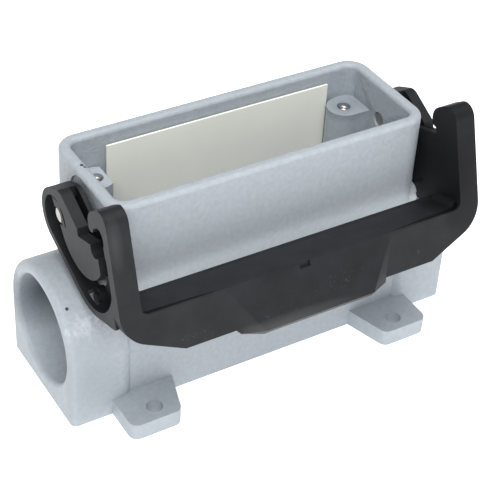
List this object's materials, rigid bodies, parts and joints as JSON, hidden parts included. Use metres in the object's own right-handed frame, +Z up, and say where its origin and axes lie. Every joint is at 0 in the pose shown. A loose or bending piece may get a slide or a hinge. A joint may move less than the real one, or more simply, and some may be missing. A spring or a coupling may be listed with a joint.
{
  "type": "rectangular connector housing",
  "caption": "Heavy duty rectangular connector housing for surface mounting, cast metal, with a round side cable entry, mounting lugs and a swinging black locking lever.",
  "frame": {"origin": "on the mounting face, under the middle of the opening", "axes": "+X along the body away from the cable entry, -Y towards the lever's crossbar, +Z up out of the opening"},
  "size_m": [0.1026, 0.0618, 0.0613],
  "materials": {
    "painted_casting": "pale blue-grey powder coat with a fine pebbled texture",
    "black_moulding": "black fibre-filled plastic, fine satin texture",
    "bare_steel": "bare turned steel",
    "cream_paper": "uncoated pale cream paper card"
  },
  "bodies": {
    "body": {"housing": "painted_casting", "pivot_pin_left": "bare_steel", "pivot_pin_right": "bare_steel", "paper_card": "cream_paper"},
    "lever": {"locking_lever": "black_moulding"}
  },
  "joints": [
    {"name": "lever_hinge", "type": "hinge", "parent": "body", "child": "lever", "pos_m": [0, 0, 0.0472], "axis": [-1, 0, 0], "range_deg": [0, 68]}
  ]
}
